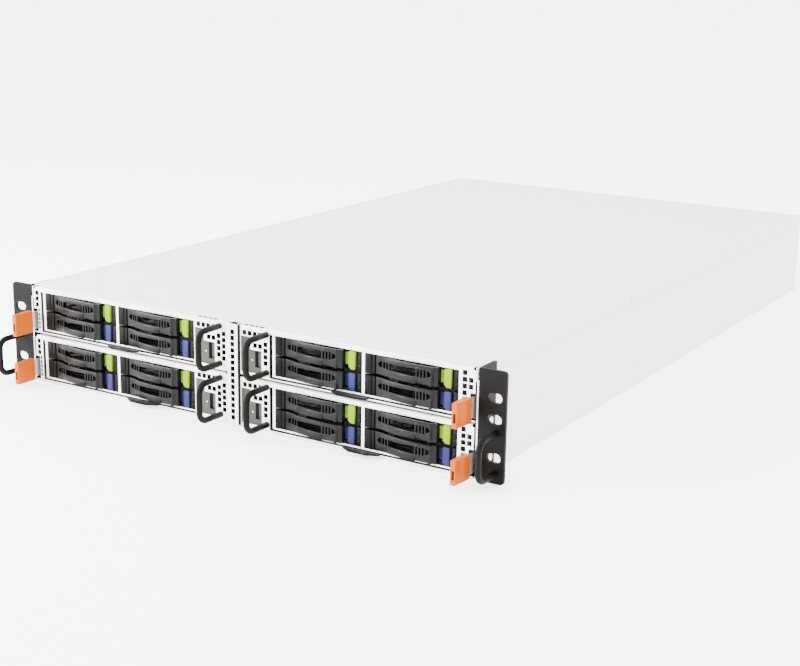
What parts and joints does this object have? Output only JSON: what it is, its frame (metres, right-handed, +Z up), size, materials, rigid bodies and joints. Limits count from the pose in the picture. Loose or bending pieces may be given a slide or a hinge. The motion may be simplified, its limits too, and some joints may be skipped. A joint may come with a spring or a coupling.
{
  "type": "rackmount server barebone",
  "caption": "Two-unit rackmount server barebone with front node sleds that slide out, latched drive carriers with swing levers, rack ears, rear fans and stacked power supplies.",
  "frame": {"origin": "under the middle of the whole object, at the underside of the chassis floor", "axes": "-Y faces the front with the sleds, +X is the object's right seen from the front, +Z up"},
  "size_m": [0.4826, 0.799, 0.085],
  "materials": {
    "zinc_sheet": "satin zinc-coated sheet",
    "sled_sheet": "bright zinc-coated sheet",
    "black_steel": "semi-gloss black paint",
    "black_plastic": "satin",
    "lever_plastic": "satin",
    "orange_plastic": "satin gloss",
    "circuit_board": "solder mask",
    "supply_case": "zinc-coated case",
    "fan_plastic": "matt",
    "screw_steel": "plated"
  },
  "bodies": {
    "chassis": {"chassis_tray": "zinc_sheet", "top_cover": "zinc_sheet", "center_divider": "sled_sheet", "sled_shelves": "zinc_sheet", "rack_ear_left": "black_steel", "rack_ear_right": "black_steel", "ear_handles": "black_steel", "midplane_boards": "circuit_board", "fan_frames": "fan_plastic", "fasteners": "screw_steel"},
    "psu_lower": {"psu_lower": "supply_case"},
    "psu_upper": {"psu_upper": "supply_case"},
    "fan_1": {"fan_rotor_1": "fan_plastic"},
    "fan_2": {"fan_rotor_2": "fan_plastic"},
    "fan_3": {"fan_rotor_3": "fan_plastic"},
    "fan_4": {"fan_rotor_4": "fan_plastic"},
    "sled_1": {"sled_1_frame": "sled_sheet"},
    "latch_1": {"sled_1_latch": "orange_plastic"},
    "tag_1": {"sled_1_tag": "black_plastic"},
    "drive_1a": {"drive_carrier_1a": "black_plastic"},
    "lever_1a": {"drive_lever_1a": "lever_plastic"},
    "drive_1b": {"drive_carrier_1b": "black_plastic"},
    "lever_1b": {"drive_lever_1b": "lever_plastic"},
    "drive_1c": {"drive_carrier_1c": "black_plastic"},
    "lever_1c": {"drive_lever_1c": "lever_plastic"},
    "drive_1d": {"drive_carrier_1d": "black_plastic"},
    "lever_1d": {"drive_lever_1d": "lever_plastic"},
    "sled_2": {"sled_2_frame": "sled_sheet"},
    "latch_2": {"sled_2_latch": "orange_plastic"},
    "tag_2": {"sled_2_tag": "black_plastic"},
    "drive_2a": {"drive_carrier_2a": "black_plastic"},
    "lever_2a": {"drive_lever_2a": "lever_plastic"},
    "drive_2b": {"drive_carrier_2b": "black_plastic"},
    "lever_2b": {"drive_lever_2b": "lever_plastic"},
    "drive_2c": {"drive_carrier_2c": "black_plastic"},
    "lever_2c": {"drive_lever_2c": "lever_plastic"},
    "drive_2d": {"drive_carrier_2d": "black_plastic"},
    "lever_2d": {"drive_lever_2d": "lever_plastic"},
    "sled_3": {"sled_3_frame": "sled_sheet"},
    "latch_3": {"sled_3_latch": "orange_plastic"},
    "tag_3": {"sled_3_tag": "black_plastic"},
    "drive_3a": {"drive_carrier_3a": "black_plastic"},
    "lever_3a": {"drive_lever_3a": "lever_plastic"},
    "drive_3b": {"drive_carrier_3b": "black_plastic"},
    "lever_3b": {"drive_lever_3b": "lever_plastic"},
    "drive_3c": {"drive_carrier_3c": "black_plastic"},
    "lever_3c": {"drive_lever_3c": "lever_plastic"},
    "drive_3d": {"drive_carrier_3d": "black_plastic"},
    "lever_3d": {"drive_lever_3d": "lever_plastic"},
    "sled_4": {"sled_4_frame": "sled_sheet"},
    "latch_4": {"sled_4_latch": "orange_plastic"},
    "tag_4": {"sled_4_tag": "black_plastic"},
    "drive_4a": {"drive_carrier_4a": "black_plastic"},
    "lever_4a": {"drive_lever_4a": "lever_plastic"},
    "drive_4b": {"drive_carrier_4b": "black_plastic"},
    "lever_4b": {"drive_lever_4b": "lever_plastic"},
    "drive_4c": {"drive_carrier_4c": "black_plastic"},
    "lever_4c": {"drive_lever_4c": "lever_plastic"},
    "drive_4d": {"drive_carrier_4d": "black_plastic"},
    "lever_4d": {"drive_lever_4d": "lever_plastic"}
  },
  "joints": [
    {"name": "fan_1_spin", "type": "hinge", "parent": "chassis", "child": "fan_1", "pos_m": [-0.1735, 0.2795, 0.0415], "axis": [0, 1, 0], "continuous": true},
    {"name": "fan_2_spin", "type": "hinge", "parent": "chassis", "child": "fan_2", "pos_m": [-0.0855, 0.2795, 0.0415], "axis": [0, 1, 0], "continuous": true},
    {"name": "fan_3_spin", "type": "hinge", "parent": "chassis", "child": "fan_3", "pos_m": [0.0855, 0.2795, 0.0415], "axis": [0, 1, 0], "continuous": true},
    {"name": "fan_4_spin", "type": "hinge", "parent": "chassis", "child": "fan_4", "pos_m": [0.1735, 0.2795, 0.0415], "axis": [0, 1, 0], "continuous": true},
    {"name": "psu_lower_slide", "type": "slide", "parent": "chassis", "child": "psu_lower", "axis": [0, 1, 0], "range_m": [0, 0.3]},
    {"name": "psu_upper_slide", "type": "slide", "parent": "chassis", "child": "psu_upper", "axis": [0, 1, 0], "range_m": [0, 0.3]},
    {"name": "sled_1_slide", "type": "slide", "parent": "chassis", "child": "sled_1", "axis": [0, -1, 0], "range_m": [0, 0.56]},
    {"name": "latch_1_press", "type": "hinge", "parent": "sled_1", "child": "latch_1", "pos_m": [-0.2146, -0.2885, 0.0537], "axis": [0, 0, 1], "range_deg": [0, 1.6], "stiffness_Nm_per_rad": 3},
    {"name": "tag_1_slide", "type": "slide", "parent": "sled_1", "child": "tag_1", "axis": [0, -1, 0], "range_m": [0, 0.05]},
    {"name": "drive_1a_slide", "type": "slide", "parent": "sled_1", "child": "drive_1a", "axis": [0, -1, 0], "range_m": [0, 0.108]},
    {"name": "lever_1a_swing", "type": "hinge", "parent": "drive_1a", "child": "lever_1a", "pos_m": [-0.1915, -0.3689, 0.0723], "axis": [0, 0, -1], "range_deg": [0, 60]},
    {"name": "drive_1b_slide", "type": "slide", "parent": "sled_1", "child": "drive_1b", "axis": [0, -1, 0], "range_m": [0, 0.108]},
    {"name": "lever_1b_swing", "type": "hinge", "parent": "drive_1b", "child": "lever_1b", "pos_m": [-0.1089, -0.3689, 0.0723], "axis": [0, 0, -1], "range_deg": [0, 60]},
    {"name": "drive_1c_slide", "type": "slide", "parent": "sled_1", "child": "drive_1c", "axis": [0, -1, 0], "range_m": [0, 0.108]},
    {"name": "lever_1c_swing", "type": "hinge", "parent": "drive_1c", "child": "lever_1c", "pos_m": [-0.1915, -0.3689, 0.0555], "axis": [0, 0, -1], "range_deg": [0, 60]},
    {"name": "drive_1d_slide", "type": "slide", "parent": "sled_1", "child": "drive_1d", "axis": [0, -1, 0], "range_m": [0, 0.108]},
    {"name": "lever_1d_swing", "type": "hinge", "parent": "drive_1d", "child": "lever_1d", "pos_m": [-0.1089, -0.3689, 0.0555], "axis": [0, 0, -1], "range_deg": [0, 60]},
    {"name": "sled_2_slide", "type": "slide", "parent": "chassis", "child": "sled_2", "axis": [0, -1, 0], "range_m": [0, 0.56]},
    {"name": "latch_2_press", "type": "hinge", "parent": "sled_2", "child": "latch_2", "pos_m": [0.2146, -0.2885, 0.0537], "axis": [0, 0, -1], "range_deg": [0, 1.6], "stiffness_Nm_per_rad": 3},
    {"name": "tag_2_slide", "type": "slide", "parent": "sled_2", "child": "tag_2", "axis": [0, -1, 0], "range_m": [0, 0.05]},
    {"name": "drive_2a_slide", "type": "slide", "parent": "sled_2", "child": "drive_2a", "axis": [0, -1, 0], "range_m": [0, 0.108]},
    {"name": "lever_2a_swing", "type": "hinge", "parent": "drive_2a", "child": "lever_2a", "pos_m": [0.0513, -0.3689, 0.0723], "axis": [0, 0, -1], "range_deg": [0, 60]},
    {"name": "drive_2b_slide", "type": "slide", "parent": "sled_2", "child": "drive_2b", "axis": [0, -1, 0], "range_m": [0, 0.108]},
    {"name": "lever_2b_swing", "type": "hinge", "parent": "drive_2b", "child": "lever_2b", "pos_m": [0.1339, -0.3689, 0.0723], "axis": [0, 0, -1], "range_deg": [0, 60]},
    {"name": "drive_2c_slide", "type": "slide", "parent": "sled_2", "child": "drive_2c", "axis": [0, -1, 0], "range_m": [0, 0.108]},
    {"name": "lever_2c_swing", "type": "hinge", "parent": "drive_2c", "child": "lever_2c", "pos_m": [0.0513, -0.3689, 0.0555], "axis": [0, 0, -1], "range_deg": [0, 60]},
    {"name": "drive_2d_slide", "type": "slide", "parent": "sled_2", "child": "drive_2d", "axis": [0, -1, 0], "range_m": [0, 0.108]},
    {"name": "lever_2d_swing", "type": "hinge", "parent": "drive_2d", "child": "lever_2d", "pos_m": [0.1339, -0.3689, 0.0555], "axis": [0, 0, -1], "range_deg": [0, 60]},
    {"name": "sled_3_slide", "type": "slide", "parent": "chassis", "child": "sled_3", "axis": [0, -1, 0], "range_m": [0, 0.56]},
    {"name": "latch_3_press", "type": "hinge", "parent": "sled_3", "child": "latch_3", "pos_m": [-0.2146, -0.2885, 0.0114], "axis": [0, 0, 1], "range_deg": [0, 1.6], "stiffness_Nm_per_rad": 3},
    {"name": "tag_3_slide", "type": "slide", "parent": "sled_3", "child": "tag_3", "axis": [0, -1, 0], "range_m": [0, 0.05]},
    {"name": "drive_3a_slide", "type": "slide", "parent": "sled_3", "child": "drive_3a", "axis": [0, -1, 0], "range_m": [0, 0.108]},
    {"name": "lever_3a_swing", "type": "hinge", "parent": "drive_3a", "child": "lever_3a", "pos_m": [-0.1915, -0.3689, 0.03], "axis": [0, 0, -1], "range_deg": [0, 60]},
    {"name": "drive_3b_slide", "type": "slide", "parent": "sled_3", "child": "drive_3b", "axis": [0, -1, 0], "range_m": [0, 0.108]},
    {"name": "lever_3b_swing", "type": "hinge", "parent": "drive_3b", "child": "lever_3b", "pos_m": [-0.1089, -0.3689, 0.03], "axis": [0, 0, -1], "range_deg": [0, 60]},
    {"name": "drive_3c_slide", "type": "slide", "parent": "sled_3", "child": "drive_3c", "axis": [0, -1, 0], "range_m": [0, 0.108]},
    {"name": "lever_3c_swing", "type": "hinge", "parent": "drive_3c", "child": "lever_3c", "pos_m": [-0.1915, -0.3689, 0.0132], "axis": [0, 0, -1], "range_deg": [0, 60]},
    {"name": "drive_3d_slide", "type": "slide", "parent": "sled_3", "child": "drive_3d", "axis": [0, -1, 0], "range_m": [0, 0.108]},
    {"name": "lever_3d_swing", "type": "hinge", "parent": "drive_3d", "child": "lever_3d", "pos_m": [-0.1089, -0.3689, 0.0132], "axis": [0, 0, -1], "range_deg": [0, 60]},
    {"name": "sled_4_slide", "type": "slide", "parent": "chassis", "child": "sled_4", "axis": [0, -1, 0], "range_m": [0, 0.56]},
    {"name": "latch_4_press", "type": "hinge", "parent": "sled_4", "child": "latch_4", "pos_m": [0.2146, -0.2885, 0.0114], "axis": [0, 0, -1], "range_deg": [0, 1.6], "stiffness_Nm_per_rad": 3},
    {"name": "tag_4_slide", "type": "slide", "parent": "sled_4", "child": "tag_4", "axis": [0, -1, 0], "range_m": [0, 0.05]},
    {"name": "drive_4a_slide", "type": "slide", "parent": "sled_4", "child": "drive_4a", "axis": [0, -1, 0], "range_m": [0, 0.108]},
    {"name": "lever_4a_swing", "type": "hinge", "parent": "drive_4a", "child": "lever_4a", "pos_m": [0.0513, -0.3689, 0.03], "axis": [0, 0, -1], "range_deg": [0, 60]},
    {"name": "drive_4b_slide", "type": "slide", "parent": "sled_4", "child": "drive_4b", "axis": [0, -1, 0], "range_m": [0, 0.108]},
    {"name": "lever_4b_swing", "type": "hinge", "parent": "drive_4b", "child": "lever_4b", "pos_m": [0.1339, -0.3689, 0.03], "axis": [0, 0, -1], "range_deg": [0, 60]},
    {"name": "drive_4c_slide", "type": "slide", "parent": "sled_4", "child": "drive_4c", "axis": [0, -1, 0], "range_m": [0, 0.108]},
    {"name": "lever_4c_swing", "type": "hinge", "parent": "drive_4c", "child": "lever_4c", "pos_m": [0.0513, -0.3689, 0.0132], "axis": [0, 0, -1], "range_deg": [0, 60]},
    {"name": "drive_4d_slide", "type": "slide", "parent": "sled_4", "child": "drive_4d", "axis": [0, -1, 0], "range_m": [0, 0.108]},
    {"name": "lever_4d_swing", "type": "hinge", "parent": "drive_4d", "child": "lever_4d", "pos_m": [0.1339, -0.3689, 0.0132], "axis": [0, 0, -1], "range_deg": [0, 60]}
  ]
}
